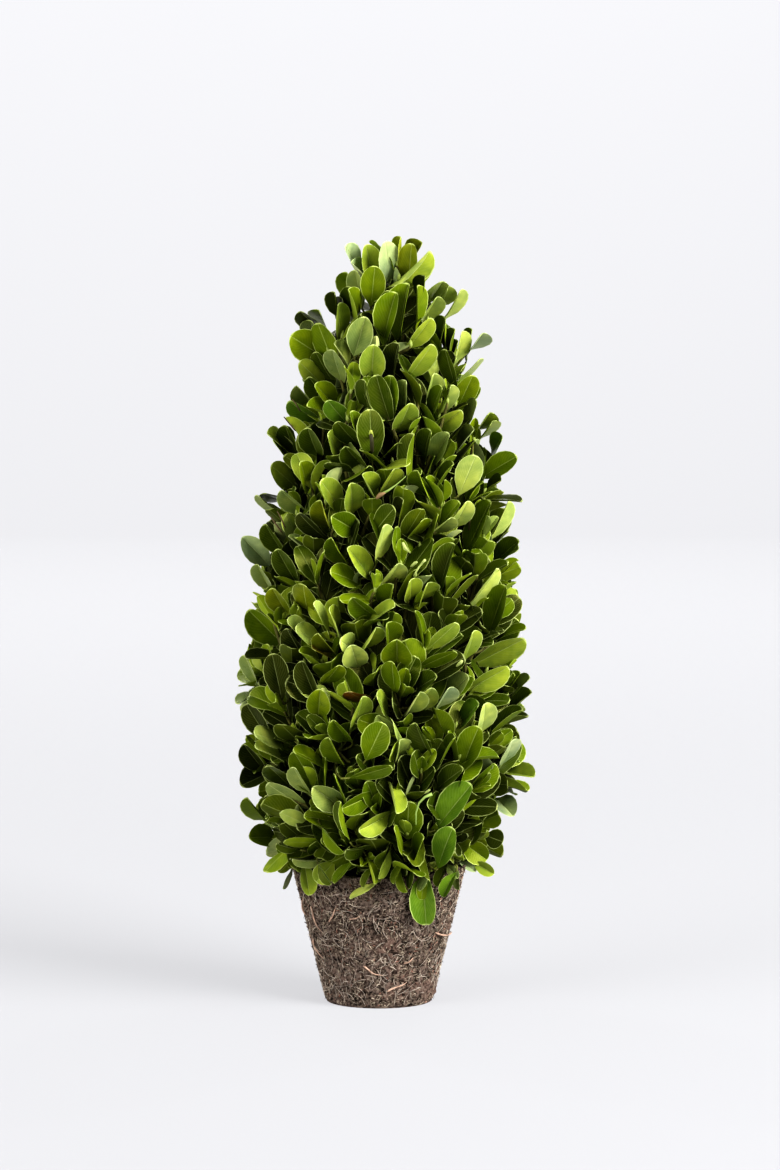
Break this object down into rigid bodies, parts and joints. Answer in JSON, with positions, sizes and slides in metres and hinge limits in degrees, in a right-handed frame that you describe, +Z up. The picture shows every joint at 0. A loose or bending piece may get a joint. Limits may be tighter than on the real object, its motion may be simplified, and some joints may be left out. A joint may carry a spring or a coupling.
{
  "type": "boxwood cone topiary",
  "caption": "Clipped boxwood cone on a short hidden stem, standing in a small tapered pot of pressed peat.",
  "frame": {"origin": "centre of the pot's flat underside", "axes": "+Z up the plant, +X to its right, -Y out of its front"},
  "size_m": [0.1565, 0.1613, 0.4065],
  "materials": {
    "pot": "rough pressed peat with coir fibres",
    "soil": "crumbly dark peat",
    "stem": "thin ridged bark",
    "leaves": "satin green leaves"
  },
  "bodies": {
    "root": {"pot": "pot", "soil": "soil", "stem": "stem", "foliage_skirt": "leaves", "foliage_lower": "leaves", "foliage_middle": "leaves", "foliage_upper": "leaves", "foliage_tip": "leaves"}
  },
  "joints": []
}
